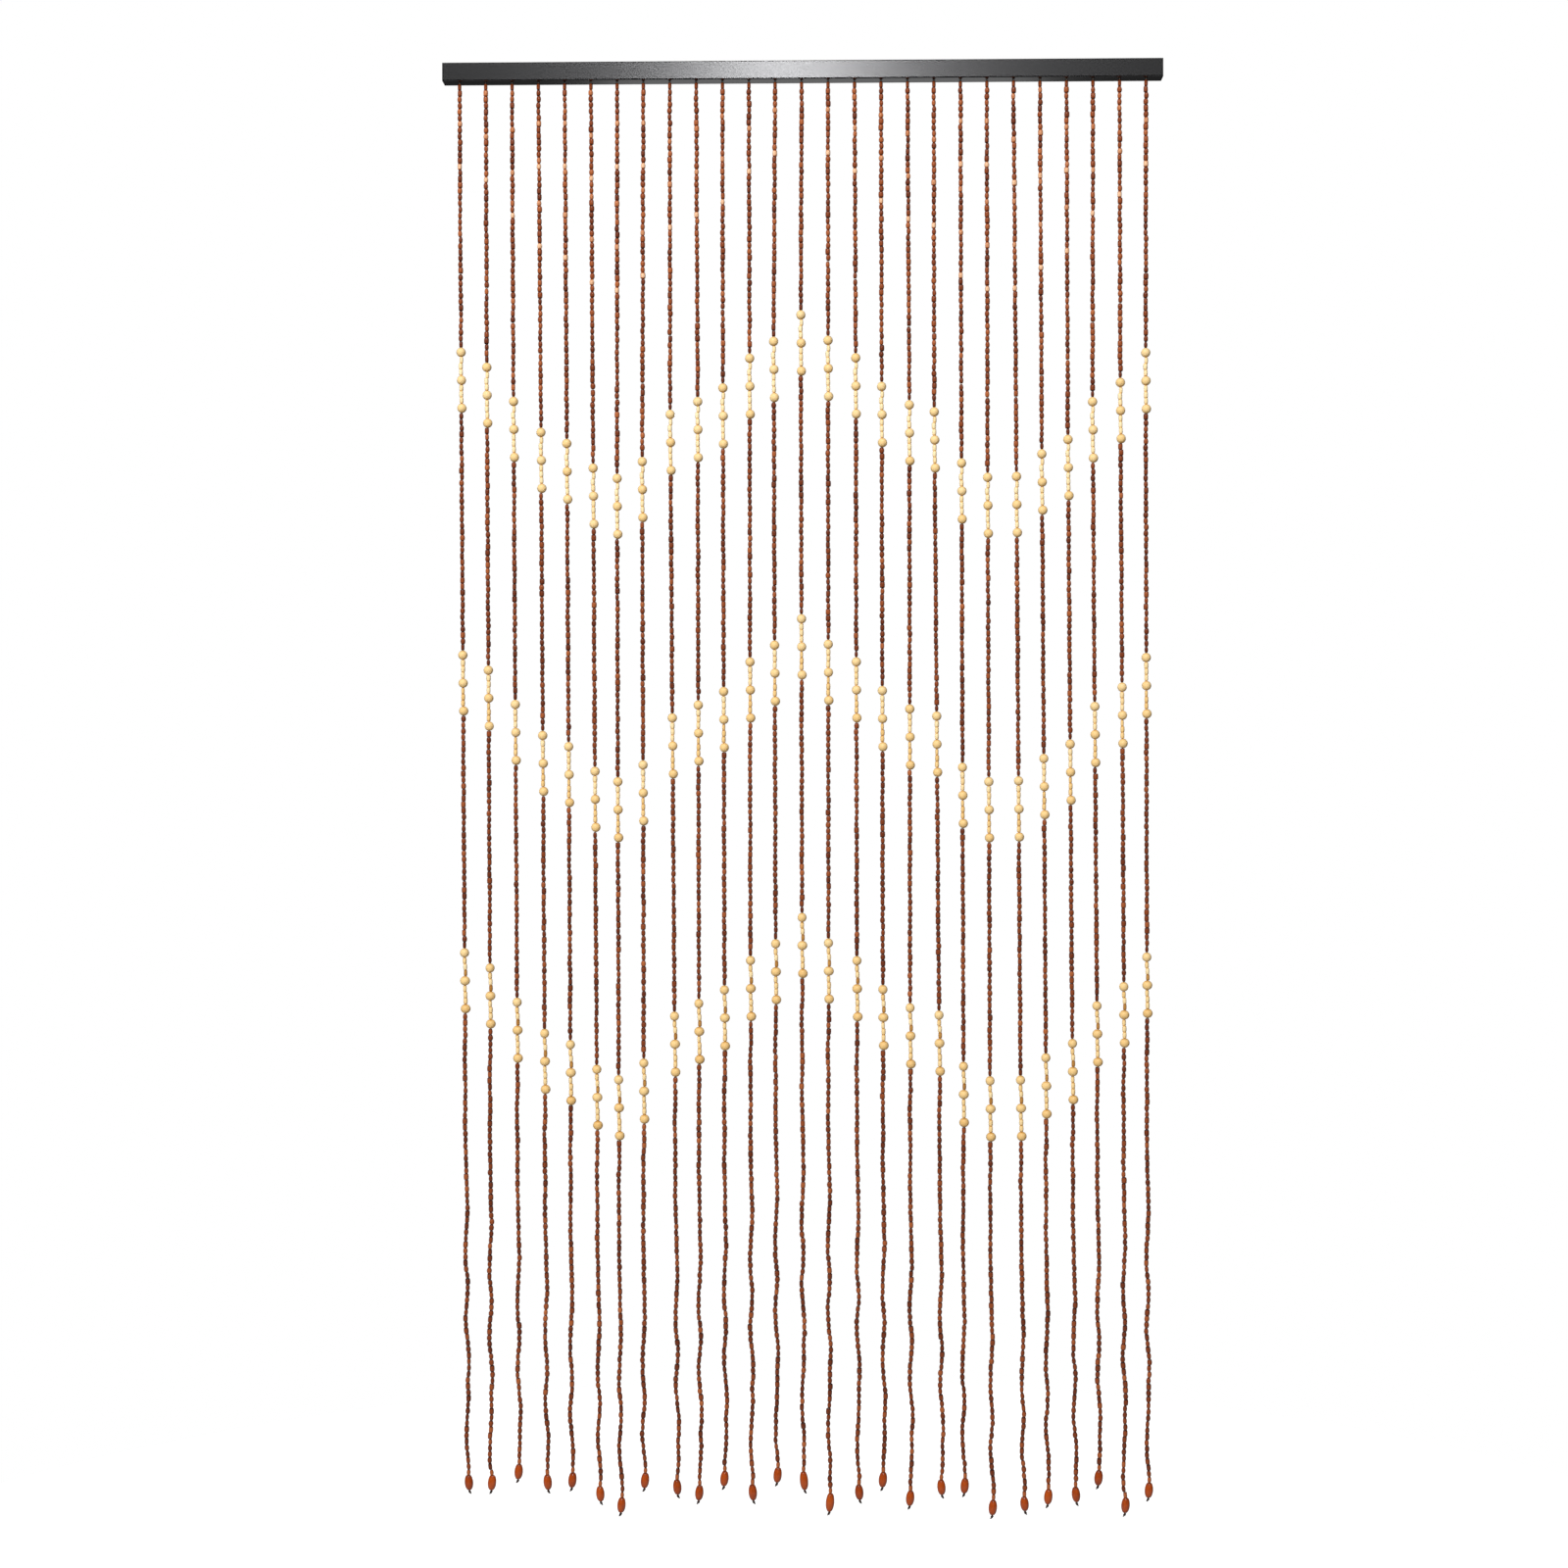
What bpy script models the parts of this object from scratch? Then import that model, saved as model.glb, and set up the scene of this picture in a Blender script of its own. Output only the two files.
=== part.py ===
"""Bead curtain for a doorway: a dark aluminium rail and the strands of wooden beads that hang from it.

Metres, +Z up. The origin is the middle of the rail's top face, where it meets a lintel or a ceiling.
The front looks along -Y, and strand 1 is at the left of the front, at -X. A drop is a distance down
from the rail's top face.
"""

import math
from typing import NamedTuple

import bmesh
import bpy
from mathutils import Matrix, Vector

MM = 0.001
GAP = 0.3 * MM  # left between two pieces that touch

# The rail, a box section lying along X.
CURTAIN_WIDTH = 900 * MM
RAIL_DEPTH = 22 * MM
RAIL_HEIGHT = 23 * MM
RAIL_WALL = 1.4 * MM
RAIL_CORNER = 1.2 * MM
RAIL_CORNER_STEPS = 2

# The end caps, a plate over the section's end with a plug inside it.
CAP_PLATE = 1.5 * MM
CAP_PLUG = 8 * MM

# The row of holes in the rail's underside, one for each strand.
HOLE_ROW = 860 * MM
HOLE_DIAMETER = 3.6 * MM
HOLE_SIDES = 8

# The beads and the cord.
CORD_DIAMETER = 2 * MM
KNOT_DIAMETER = 6 * MM
KNOT_HEIGHT = 5 * MM
BROWN_DIAMETER = 6 * MM
FIRST_BEAD_DIAMETER = 4.4 * MM
FIRST_BEAD_TOP = 27 * MM
FIRST_BEAD_END = 36 * MM
PALE_DIAMETER = 5.4 * MM
BALL_DIAMETER = 12 * MM
END_BEAD_DIAMETER = 10.8 * MM
END_BEAD_RIM = 0.5 * MM  # the step from the last brown bead out to the end bead's flat top
TAIL_DIAMETER = 2.8 * MM
TAIL_LENGTH = 5 * MM
TAIL_TURN = 2.4 * MM
END_BEAD_TILT = math.radians(5)
STRAND_SIDES = 4

# Three groups of balls on every strand, as drops below the first ball, and three balls in a group.
GROUP_DROPS = (0, 380.5 * MM, 754.5 * MM)
BALLS_IN_GROUP = 3
BALL_PITCH = 35.1 * MM

# How every strand sways below its last group: (mm below that group's first ball, mm to the right).
SWAY = (
    (105, 0.4),
    (125, -0.7),
    (178, 0.1),
    (215, -0.6),
    (292, 0.9),
    (321, 1.8),
    (368, -1.0),
    (391, -1.0),
    (413, 1.6),
    (430, 1.2),
    (455, -1.2),
    (469, -1.2),
    (503, 2.4),
    (521, 2.4),
    (536, 1.0),
    (556, 1.8),
    (596, -0.6),
    (620, -0.9),
    (648, 2.1),
    (669, 1.5),
)
SWAY_FADES_OVER = 12 * MM  # the sway ends this far above the end bead

RIGHT = 1
LEFT = -1


class Strand(NamedTuple):
    """One strand's own measures, in mm. A lean is how far right of its hole the strand hangs."""

    first_ball: float
    end_bead: float
    lean_first: float
    lean_third: float
    lean_end: float
    end_length: float
    tail: int


STRANDS = (
    #      first ball, end bead, leans: first, third, end; end bead's length, tail's side
    Strand(361, 1781, 2.0, 6.5, 12.0, 18, RIGHT),
    Strand(380, 1781, 1.5, 5.5, 8.0, 18, LEFT),
    Strand(423, 1767, 2.0, 6.5, 8.5, 18, LEFT),
    Strand(462, 1780, 3.5, 8.0, 12.0, 18, RIGHT),
    Strand(476, 1777, 3.0, 7.5, 10.0, 18, LEFT),
    Strand(507, 1794, 3.0, 7.5, 12.0, 18, RIGHT),
    Strand(520, 1808, 0.0, 2.0, 5.5, 18, LEFT),
    Strand(499, 1777, -1.5, 0.5, 2.0, 18, LEFT),
    Strand(440, 1785, 0.5, 6.0, 9.5, 18, RIGHT),
    Strand(424, 1792, 2.0, 3.5, 4.0, 18, LEFT),
    Strand(407, 1774, 0.5, 2.5, 2.5, 18, LEFT),
    Strand(370, 1791, 1.0, 2.0, 5.0, 19, RIGHT),
    Strand(349, 1769, -2.0, 0.5, 3.0, 18, LEFT),
    Strand(316, 1776, -1.0, 0.5, 3.0, 22, RIGHT),
    Strand(348, 1803, 0.0, 0.5, 2.5, 22, LEFT),
    Strand(370, 1790, 1.5, 3.0, 6.0, 18, RIGHT),
    Strand(406, 1774, 1.0, 2.5, 2.5, 18, LEFT),
    Strand(429, 1797, 2.5, 3.5, 3.5, 18, LEFT),
    Strand(438, 1783, 0.5, 6.5, 9.5, 18, RIGHT),
    Strand(502, 1781, 1.5, 4.0, 5.5, 18, LEFT),
    Strand(520, 1808, 1.0, 4.0, 7.5, 18, LEFT),
    Strand(519, 1803, 4.0, 9.0, 14.0, 17, RIGHT),
    Strand(491, 1794, 2.5, 7.5, 10.5, 18, LEFT),
    Strand(473, 1791, 2.0, 7.5, 12.0, 18, RIGHT),
    Strand(426, 1770, -0.5, 5.0, 7.0, 18, LEFT),
    Strand(402, 1804, 1.0, 5.5, 7.5, 18, LEFT),
    Strand(365, 1785, -0.5, 1.0, 3.5, 18, LEFT),
)


class Station(NamedTuple):
    """One level of a strand's solid, and the finish of the stretch that ends there."""

    drop: float
    shift: float
    radius: float
    finish: str


def clear_scene():
    for thing in list(bpy.data.objects):
        bpy.data.objects.remove(thing)


def finish_material(name, colour, roughness, metallic=0.0):
    material = bpy.data.materials.new(name)
    material.use_nodes = True
    shader = material.node_tree.nodes["Principled BSDF"]
    shader.inputs["Base Color"].default_value = (*colour, 1.0)
    shader.inputs["Roughness"].default_value = roughness
    shader.inputs["Metallic"].default_value = metallic
    return material


def add_object(name, bm, materials):
    """Turns a bmesh into a named object of the scene."""
    bmesh.ops.recalc_face_normals(bm, faces=bm.faces)
    mesh = bpy.data.meshes.new(name)
    bm.to_mesh(mesh)
    bm.free()
    for material in materials:
        mesh.materials.append(material)
    thing = bpy.data.objects.new(name, mesh)
    bpy.context.scene.collection.objects.link(thing)
    return thing


def add_guide(name, bm):
    """A solid that is only there to be cut from another, or joined to it."""
    guide = add_object(name, bm, [])
    guide.hide_render = True
    guide.display_type = "WIRE"
    return guide


def combine(target, guide, operation):
    boolean = target.modifiers.new(guide.name, "BOOLEAN")
    boolean.operation = operation
    boolean.object = guide


def add_box(bm, size, centre):
    """A box in the bmesh, which may hold others."""
    matrix = Matrix.Translation(centre) @ Matrix.Diagonal((*size, 1))
    return bmesh.ops.create_cube(bm, size=1, matrix=matrix)["verts"]


def round_long_edges(bm, verts):
    """Rounds the edges of a box that run along X."""
    edges = {edge for vert in verts for edge in vert.link_edges}
    along_x = [e for e in edges if abs(e.verts[0].co.x - e.verts[1].co.x) > CAP_PLATE / 2]
    bmesh.ops.bevel(
        bm,
        geom=along_x,
        affect="EDGES",
        offset=RAIL_CORNER,
        segments=RAIL_CORNER_STEPS,
        profile=0.5,
        material=-1,
    )


def grow(bm, face):
    """Extrudes a face of a closed solid, and gives the face that is now its end."""
    return bmesh.ops.extrude_discrete_faces(bm, faces=[face])["faces"][0]


def hole_x(index):
    """The place of a strand's hole along the rail."""
    return HOLE_ROW * (index / (len(STRANDS) - 1) - 0.5)


def make_rail(aluminium):
    """The box section, with the hollow and the holes left as live cuts."""
    centre_z = -RAIL_HEIGHT / 2
    length = CURTAIN_WIDTH - 2 * (CAP_PLATE + GAP)
    bm = bmesh.new()
    round_long_edges(bm, add_box(bm, (length, RAIL_DEPTH, RAIL_HEIGHT), (0, 0, centre_z)))
    rail = add_object("rail", bm, [aluminium])

    inside = (CURTAIN_WIDTH, RAIL_DEPTH - 2 * RAIL_WALL, RAIL_HEIGHT - 2 * RAIL_WALL)
    bm = bmesh.new()
    add_box(bm, inside, (0, 0, centre_z))
    combine(rail, add_guide("rail_hollow", bm), "DIFFERENCE")

    bm = bmesh.new()
    for index in range(len(STRANDS)):
        bmesh.ops.create_cone(
            bm,
            cap_ends=True,
            segments=HOLE_SIDES,
            radius1=HOLE_DIAMETER / 2,
            radius2=HOLE_DIAMETER / 2,
            depth=3 * RAIL_WALL,
            matrix=Matrix.Translation((hole_x(index), 0, RAIL_WALL / 2 - RAIL_HEIGHT)),
        )
    combine(rail, add_guide("rail_holes", bm), "DIFFERENCE")


def make_end_cap(name, side, plastic):
    """A cap that closes the section at one end, its plug joined to its plate: side is 1 at +X, -1 at -X."""
    centre_z = -RAIL_HEIGHT / 2
    plate_x = side * (CURTAIN_WIDTH - CAP_PLATE) / 2
    bm = bmesh.new()
    round_long_edges(bm, add_box(bm, (CAP_PLATE, RAIL_DEPTH, RAIL_HEIGHT), (plate_x, 0, centre_z)))
    cap = add_object(name, bm, [plastic])

    fit = 2 * (RAIL_WALL + GAP)
    length = CAP_PLATE / 2 + CAP_PLUG
    bm = bmesh.new()
    add_box(bm, (length, RAIL_DEPTH - fit, RAIL_HEIGHT - fit), (plate_x - side * length / 2, 0, centre_z))
    combine(cap, add_guide(name + "_plug", bm), "UNION")


def sway_at(distance):
    """How far right every strand sways at this distance below its last group, read from SWAY."""
    above = (0.0, 0.0)
    for below in SWAY:
        if distance <= below[0] * MM:
            part = (distance / MM - above[0]) / (below[0] - above[0])
            return MM * (above[1] + part * (below[1] - above[1]))
        above = below
    return MM * above[1]


def shift_at(strand, drop):
    """How far right of its hole a strand hangs at a drop."""
    first = strand.first_ball * MM
    third = first + GROUP_DROPS[-1]
    end = strand.end_bead * MM
    if drop <= first:
        return MM * strand.lean_first * drop / first
    if drop <= third:
        part = (drop - first) / (third - first)
        return MM * (strand.lean_first + part * (strand.lean_third - strand.lean_first))
    hang = (drop - third) / (end - third)
    rest = MM * strand.lean_end - sway_at(end - third)
    return MM * strand.lean_third + hang * (rest - MM * strand.lean_third) + sway_at(drop - third)


def root_stations():
    """The knot that rests inside the rail, the cord through the hole, and the narrow first bead."""
    floor = RAIL_HEIGHT - RAIL_WALL - GAP
    cord = CORD_DIAMETER / 2
    knot = KNOT_DIAMETER / 2
    return [
        Station(floor - KNOT_HEIGHT, 0, knot / 2, "cord"),
        Station(floor - 0.7 * KNOT_HEIGHT, 0, knot, "cord"),
        Station(floor - 0.3 * KNOT_HEIGHT, 0, knot, "cord"),
        Station(floor, 0, cord, "cord"),
        Station(FIRST_BEAD_TOP, 0, cord, "cord"),
        Station(FIRST_BEAD_TOP + MM, 0, FIRST_BEAD_DIAMETER / 2, "brown"),
        Station(FIRST_BEAD_END, 0, FIRST_BEAD_DIAMETER / 2, "brown"),
        Station(FIRST_BEAD_END + MM, 0, BROWN_DIAMETER / 2, "brown"),
    ]


def ball_stations(drop, above, below):
    """A ball: where it leaves the run above, its two shoulders, and where it meets the run below."""
    ball = BALL_DIAMETER / 2
    return [
        (drop - 0.93 * ball, *above),
        (drop - 0.4 * ball, 0.96 * ball, "pale"),
        (drop + 0.4 * ball, 0.96 * ball, "pale"),
        (drop + 0.93 * ball, below, "pale"),
    ]


def group_stations(strand):
    """The three groups of pale balls, with small pale beads between the balls of a group."""
    brown = BROWN_DIAMETER / 2
    pale = PALE_DIAMETER / 2
    found = []
    for group in GROUP_DROPS:
        for ball in range(BALLS_IN_GROUP):
            above = (pale, "pale") if ball else (brown, "brown")
            below = pale if ball < BALLS_IN_GROUP - 1 else brown
            drop = strand.first_ball * MM + group + ball * BALL_PITCH
            found += ball_stations(drop, above, below)
    return [Station(drop, shift_at(strand, drop), radius, finish) for drop, radius, finish in found]


def sway_stations(strand):
    """The turns of the lower run of brown beads, down to the end bead."""
    third = strand.first_ball * MM + GROUP_DROPS[-1]
    bead_top = (strand.end_bead - strand.end_length / 2) * MM
    drops = [third + distance * MM for distance, _ in SWAY]
    drops = [drop for drop in drops if drop < bead_top - SWAY_FADES_OVER]
    return [Station(drop, shift_at(strand, drop), BROWN_DIAMETER / 2, "brown") for drop in drops]


def end_stations(strand):
    """The olive-shaped end bead, tilted to the side that the knot's tail points to."""
    centre = strand.end_bead * MM
    half = strand.end_length * MM / 2
    widest = END_BEAD_DIAMETER / 2
    lean = strand.lean_end * MM
    outline = [
        (-half - END_BEAD_RIM, BROWN_DIAMETER / 2, "brown"),
        (-half, 0.7 * widest, "end"),
        (-0.35 * half, widest, "end"),
        (0.45 * half, 0.86 * widest, "end"),
        (half, 0.34 * widest, "end"),
    ]
    found = [
        Station(centre + down, lean + strand.tail * math.tan(END_BEAD_TILT) * down, radius, finish)
        for down, radius, finish in outline
    ]
    tail = TAIL_DIAMETER / 2
    below = centre + half
    found.append(Station(below + 0.4 * TAIL_LENGTH, found[-1].shift, tail, "cord"))
    found.append(Station(below + TAIL_LENGTH, found[-1].shift + strand.tail * TAIL_TURN, tail, "cord"))
    return found


def place_end(face, station, x, radius_before):
    """Puts an end face of the growing strand at a station."""
    centre = Vector((x + station.shift, 0, -station.drop))
    before = face.calc_center_median()
    for vert in face.verts:
        vert.co = centre + (vert.co - before) * (station.radius / radius_before)


def make_strand(number, strand, finishes):
    """One strand as a four-sided solid, grown from its knot downwards, station by station."""
    x = hole_x(number - 1)
    stations = root_stations() + group_stations(strand) + sway_stations(strand) + end_stations(strand)
    order = list(finishes)
    bm = bmesh.new()
    bmesh.ops.create_cone(bm, cap_ends=True, segments=STRAND_SIDES, radius1=1, radius2=1, depth=1)
    top = max(bm.faces, key=lambda face: face.calc_center_median().z)
    end = min(bm.faces, key=lambda face: face.calc_center_median().z)
    for face in bm.faces:
        face.material_index = order.index("cord")
    place_end(top, stations[0], x, 1)
    place_end(end, stations[1], x, 1)
    for above, station in zip(stations[1:], stations[2:]):
        end = grow(bm, end)
        place_end(end, station, x, above.radius)
        for face in {face for vert in end.verts for face in vert.link_faces}:
            face.material_index = order.index(station.finish)
    add_object(f"strand_{number:02d}", bm, finishes.values())


def make_curtain():
    clear_scene()
    make_rail(finish_material("dark anodised aluminium", (0.055, 0.055, 0.058), 0.35, 1.0))
    plastic = finish_material("black moulded plastic", (0.012, 0.012, 0.013), 0.5)
    make_end_cap("end_cap_left", LEFT, plastic)
    make_end_cap("end_cap_right", RIGHT, plastic)
    finishes = {
        "brown": finish_material("brown lacquered wood", (0.26, 0.06, 0.02), 0.3),
        "pale": finish_material("pale lacquered wood", (0.84, 0.58, 0.26), 0.4),
        "end": finish_material("orange brown lacquered wood", (0.42, 0.08, 0.015), 0.25),
        "cord": finish_material("twisted cord", (0.05, 0.03, 0.02), 0.8),
    }
    for number, strand in enumerate(STRANDS, start=1):
        make_strand(number, strand, finishes)


make_curtain()
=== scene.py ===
"""The looks of a bead curtain for a doorway: an aluminium rail and the strands of wooden beads under it.

Metres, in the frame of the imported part. The origin is the middle of the rail's top face, the front looks
along -Y, and strand 1 is at the left of the front, at -X. A drop is a distance down from the rail's top.
"""

import math
import random
from typing import NamedTuple

import bmesh
import bpy
from mathutils import Matrix, Vector


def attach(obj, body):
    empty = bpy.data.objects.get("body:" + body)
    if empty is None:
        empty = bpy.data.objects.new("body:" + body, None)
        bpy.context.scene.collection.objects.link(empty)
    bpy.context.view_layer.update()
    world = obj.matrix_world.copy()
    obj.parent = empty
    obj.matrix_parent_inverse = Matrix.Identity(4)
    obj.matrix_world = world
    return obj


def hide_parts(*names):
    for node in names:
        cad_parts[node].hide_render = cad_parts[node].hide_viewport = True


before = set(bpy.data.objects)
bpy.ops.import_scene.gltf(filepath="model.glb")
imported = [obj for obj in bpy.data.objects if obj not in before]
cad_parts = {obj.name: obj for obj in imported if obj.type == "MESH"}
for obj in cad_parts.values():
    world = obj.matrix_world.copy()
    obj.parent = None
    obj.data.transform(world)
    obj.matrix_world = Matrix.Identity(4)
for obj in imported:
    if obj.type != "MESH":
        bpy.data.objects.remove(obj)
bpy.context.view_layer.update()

MM = 0.001

# The camera stands 3 m in front of the curtain, level with its middle, and looks a little to the left.
# The image is square.
CAMERA_PLACE = (0.046, -3.0, -0.9034)
CAMERA_TURN = math.radians(1.3)
LENS_MM = 55.0
SENSOR_MM = 36.0

scene = bpy.context.scene
scene.view_settings.view_transform = "Standard"
camera_data = bpy.data.cameras.new("camera")
camera_data.lens = LENS_MM
camera_data.sensor_width = SENSOR_MM
camera = bpy.data.objects.new("camera", camera_data)
camera.location = CAMERA_PLACE
camera.rotation_euler = (math.radians(90), 0, CAMERA_TURN)
scene.collection.objects.link(camera)
scene.camera = camera


# The stage: a white floor below the curtain and a white surround that lights it most from the upper left.
# The key light and the back light are polarised and leave no shine. A softbox high up in front shines on
# the beads' shoulders, and the rail mirrors a small lamp and some dim panels.
FLOOR_DROP = 2.05
FLOOR_RADIUS = 1.6
FLOOR_SIDES = 96
FLOOR_ROUGHNESS = 0.9
FLOOR_GLOW = 0.15  # how strongly the floor lights the curtain
FLOOR_WHITE = 1.0  # how strongly it shows to the camera
UPPER_LEFT = (-0.5, -0.6, 0.62)
SURROUND_LIGHT = (0.0, 0.34)  # opposite the upper left and towards it, where 1 is how white it looks
SURROUND_SHINE = 0.05  # how strongly it shows in what is shiny
RAIL_MIDDLE = (0, 0, 0)
CURTAIN_MIDDLE = (0, 0, -0.9)
LOWER_HALF = (0, 0, -1.4)


def linear(hex_colour):
    """An sRGB hex colour as the linear colour that a shader takes."""
    channels = [int(hex_colour[at : at + 2], 16) / 255 for at in (1, 3, 5)]
    return (*(c / 12.92 if c <= 0.04045 else ((c + 0.055) / 1.055) ** 2.4 for c in channels), 1.0)


def add_node(tree, kind, inputs=(), **settings):
    """Adds a node with its settings. Each input is a plain value, or the output that feeds it."""
    node = tree.nodes.new(kind)
    for name, value in settings.items():
        setattr(node, name, value)
    for name, value in dict(inputs).items():
        if isinstance(value, bpy.types.NodeSocket):
            tree.links.new(value, node.inputs[name])
        else:
            node.inputs[name].default_value = value
    return node


def add_light(name, place, aim, size, watts, shines=True):
    """A soft rectangular light that faces a point. One that is polarised leaves no shine."""
    light = bpy.data.lights.new(name, "AREA")
    light.shape = "RECTANGLE"
    light.size, light.size_y = size
    light.energy = watts
    lamp = bpy.data.objects.new(name, light)
    lamp.location = place
    lamp.rotation_euler = (Vector(aim) - Vector(place)).to_track_quat("-Z", "Y").to_euler()
    lamp.visible_camera = False
    lamp.visible_glossy = shines
    scene.collection.objects.link(lamp)


world = bpy.data.worlds.new("white surround")
world.use_nodes = True
scene.world = world
sky = world.node_tree
ray = add_node(sky, "ShaderNodeLightPath")
direction = add_node(sky, "ShaderNodeTexCoord")
towards = add_node(
    sky,
    "ShaderNodeVectorMath",
    {0: direction.outputs["Generated"], 1: UPPER_LEFT},
    operation="DOT_PRODUCT",
)
soft = add_node(
    sky,
    "ShaderNodeMapRange",
    {
        "Value": towards.outputs["Value"],
        "From Min": -1.0,
        "To Min": SURROUND_LIGHT[0],
        "To Max": SURROUND_LIGHT[1],
    },
)
shine = add_node(
    sky,
    "ShaderNodeMapRange",
    {
        "Value": ray.outputs["Is Glossy Ray"],
        "To Min": soft.outputs["Result"],
        "To Max": SURROUND_SHINE,
    },
)
strength = add_node(
    sky,
    "ShaderNodeMapRange",
    {"Value": ray.outputs["Is Camera Ray"], "To Min": shine.outputs["Result"], "To Max": 1.0},
)
surround = sky.nodes["Background"]
surround.inputs["Color"].default_value = linear("#FFFFFF")
sky.links.new(strength.outputs["Result"], surround.inputs["Strength"])

white = bpy.data.materials.new("white studio floor")
white.use_nodes = True
paint = white.node_tree.nodes["Principled BSDF"]
paint.inputs["Base Color"].default_value = linear("#707070")  # grey, because the floor glows as well
paint.inputs["Roughness"].default_value = FLOOR_ROUGHNESS
paint.inputs["Emission Color"].default_value = linear("#FFFFFF")
ray = add_node(white.node_tree, "ShaderNodeLightPath")
glow = add_node(
    white.node_tree,
    "ShaderNodeMapRange",
    {"Value": ray.outputs["Is Camera Ray"], "To Min": FLOOR_GLOW, "To Max": FLOOR_WHITE},
)
white.node_tree.links.new(glow.outputs["Result"], paint.inputs["Emission Strength"])
bm = bmesh.new()
bmesh.ops.create_circle(bm, cap_ends=True, segments=FLOOR_SIDES, radius=FLOOR_RADIUS)
bmesh.ops.translate(bm, vec=(0, 0, -FLOOR_DROP), verts=bm.verts)
floor_mesh = bpy.data.meshes.new("floor")
bm.to_mesh(floor_mesh)
bm.free()
floor_mesh.materials.append(white)
floor = bpy.data.objects.new("floor", floor_mesh)
scene.collection.objects.link(floor)

add_light("key light", place=(-2.2, -5.4, 1.2), aim=LOWER_HALF, size=(1.2, 1.2), watts=255, shines=False)
add_light("high softbox", place=(-0.3, -3.0, 2.2), aim=CURTAIN_MIDDLE, size=(3.0, 0.6), watts=64)
add_light("rail lamp", place=(-0.094, -3.3, 0.97), aim=RAIL_MIDDLE, size=(0.2, 0.3), watts=7.9)
add_light("front panel", place=(0, -3.2, 1.0), aim=RAIL_MIDDLE, size=(3.0, 1.4), watts=1.0)
add_light("back light", place=(0, 4.4, 0.6), aim=CURTAIN_MIDDLE, size=(1.2, 1.2), watts=170, shines=False)
add_light("back panel", place=(0, 3.2, 1.0), aim=RAIL_MIDDLE, size=(3.0, 1.4), watts=12)
add_light("low back panel", place=(0, 3.0, -0.9), aim=RAIL_MIDDLE, size=(1.1, 1.0), watts=1.7)
for side in (-1, 1):
    add_light("side back panel", place=(side * 2.6, 2.2, 0.1), aim=RAIL_MIDDLE, size=(1.4, 1.6), watts=3.5)


# The rail is a box section of extruded aluminium, anodised dark grey. Anodising leaves it satin, with the
# faint lines of the extrusion die along its length. The cords' knots rest inside it, over a row of holes.
DIE_LINE = 0.8 * MM  # real die lines are 0.1 mm apart, and these are drawn coarser so that they show
DIE_LINE_LENGTH = 160 * MM
DIE_LINE_DEPTH = 0.0006 * MM
RAIL_ROUGHNESS = (0.22, 0.24)

anodised = bpy.data.materials.new("dark anodised aluminium")
anodised.use_nodes = True
tree = anodised.node_tree
metal = tree.nodes["Principled BSDF"]
place = add_node(tree, "ShaderNodeTexCoord")
drawn_out = add_node(
    tree,
    "ShaderNodeMapping",
    {"Vector": place.outputs["Object"], "Scale": (DIE_LINE / DIE_LINE_LENGTH, 1, 1)},
)
die_lines = add_node(
    tree,
    "ShaderNodeTexNoise",
    {"Vector": drawn_out.outputs["Vector"], "Scale": 1 / DIE_LINE, "Detail": 3, "Roughness": 0.6},
)
satin = add_node(
    tree,
    "ShaderNodeMapRange",
    {
        "Value": die_lines.outputs["Fac"],
        "To Min": RAIL_ROUGHNESS[0],
        "To Max": RAIL_ROUGHNESS[1],
    },
)
shade = add_node(tree, "ShaderNodeValToRGB", {"Fac": die_lines.outputs["Fac"]})
shade.color_ramp.elements[0].color = linear("#5A5A5B")
shade.color_ramp.elements[1].color = linear("#606061")
relief = add_node(
    tree,
    "ShaderNodeBump",
    {"Height": die_lines.outputs["Fac"], "Distance": DIE_LINE_DEPTH, "Strength": 1.0},
)
metal.inputs["Metallic"].default_value = 1.0
tree.links.new(shade.outputs["Color"], metal.inputs["Base Color"])
tree.links.new(satin.outputs["Result"], metal.inputs["Roughness"])
tree.links.new(relief.outputs["Normal"], metal.inputs["Normal"])
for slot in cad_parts["rail"].material_slots:
    slot.material = anodised


# The end caps are injection moulded in black plastic, a thin plate with a plug pressed into the section.
# The mould's spark-eroded walls leave them with a fine matt grain.
MOULD_GRAIN = 0.5 * MM  # real grain is 0.05 mm, and this is drawn coarser so that it shows
MOULD_GRAIN_DEPTH = 0.01 * MM
MOULD_ROUGHNESS = (0.45, 0.6)

moulded = bpy.data.materials.new("black moulded plastic")
moulded.use_nodes = True
tree = moulded.node_tree
plastic = tree.nodes["Principled BSDF"]
place = add_node(tree, "ShaderNodeTexCoord")
grain = add_node(
    tree,
    "ShaderNodeTexNoise",
    {"Vector": place.outputs["Object"], "Scale": 1 / MOULD_GRAIN, "Detail": 2},
)
matt = add_node(
    tree,
    "ShaderNodeMapRange",
    {
        "Value": grain.outputs["Fac"],
        "To Min": MOULD_ROUGHNESS[0],
        "To Max": MOULD_ROUGHNESS[1],
    },
)
relief = add_node(
    tree,
    "ShaderNodeBump",
    {"Height": grain.outputs["Fac"], "Distance": MOULD_GRAIN_DEPTH, "Strength": 1.0},
)
plastic.inputs["Base Color"].default_value = linear("#19191A")
tree.links.new(matt.outputs["Result"], plastic.inputs["Roughness"])
tree.links.new(relief.outputs["Normal"], plastic.inputs["Normal"])
for name in ("end_cap_left", "end_cap_right"):
    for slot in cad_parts[name].material_slots:
        slot.material = moulded


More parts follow.
